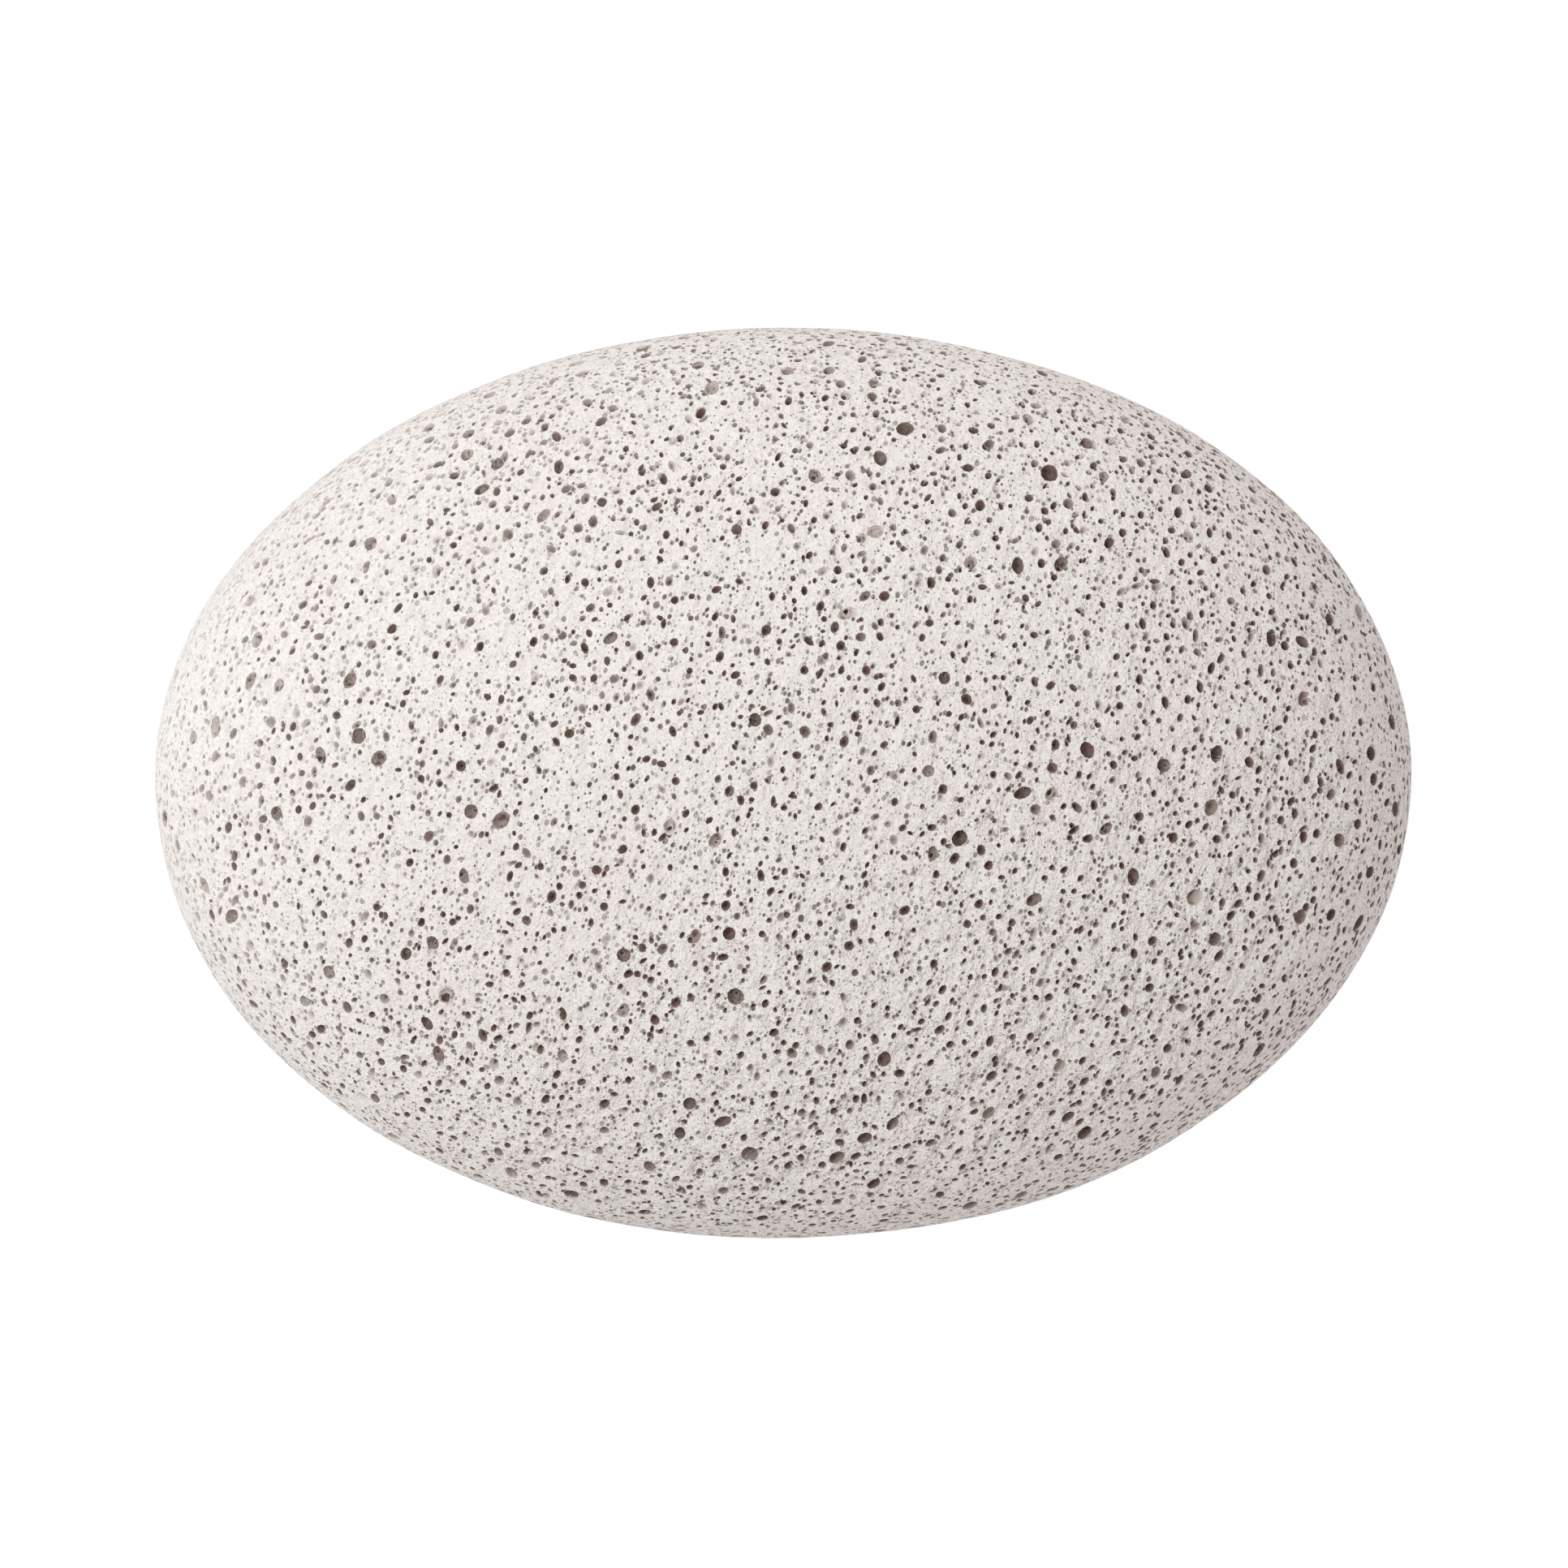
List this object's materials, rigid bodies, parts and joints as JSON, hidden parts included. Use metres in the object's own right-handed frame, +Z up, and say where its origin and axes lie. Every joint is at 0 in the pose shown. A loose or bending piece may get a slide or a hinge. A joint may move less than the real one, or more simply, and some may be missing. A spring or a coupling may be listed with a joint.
{
  "type": "pumice stone",
  "caption": "Oval pumice stone: a ground pebble of light frothy rock, broad gently domed faces, round edges, open pores all over, for smoothing skin.",
  "frame": {"origin": "middle of the flat worn seat that the stone lies on", "axes": "+X along the oval's length, +Y across it, +Z up out of the broad domed face"},
  "size_m": [0.1001, 0.0726, 0.038],
  "materials": {
    "pumice": "matte"
  },
  "bodies": {
    "root": {"pumice_stone": "pumice"}
  },
  "joints": []
}
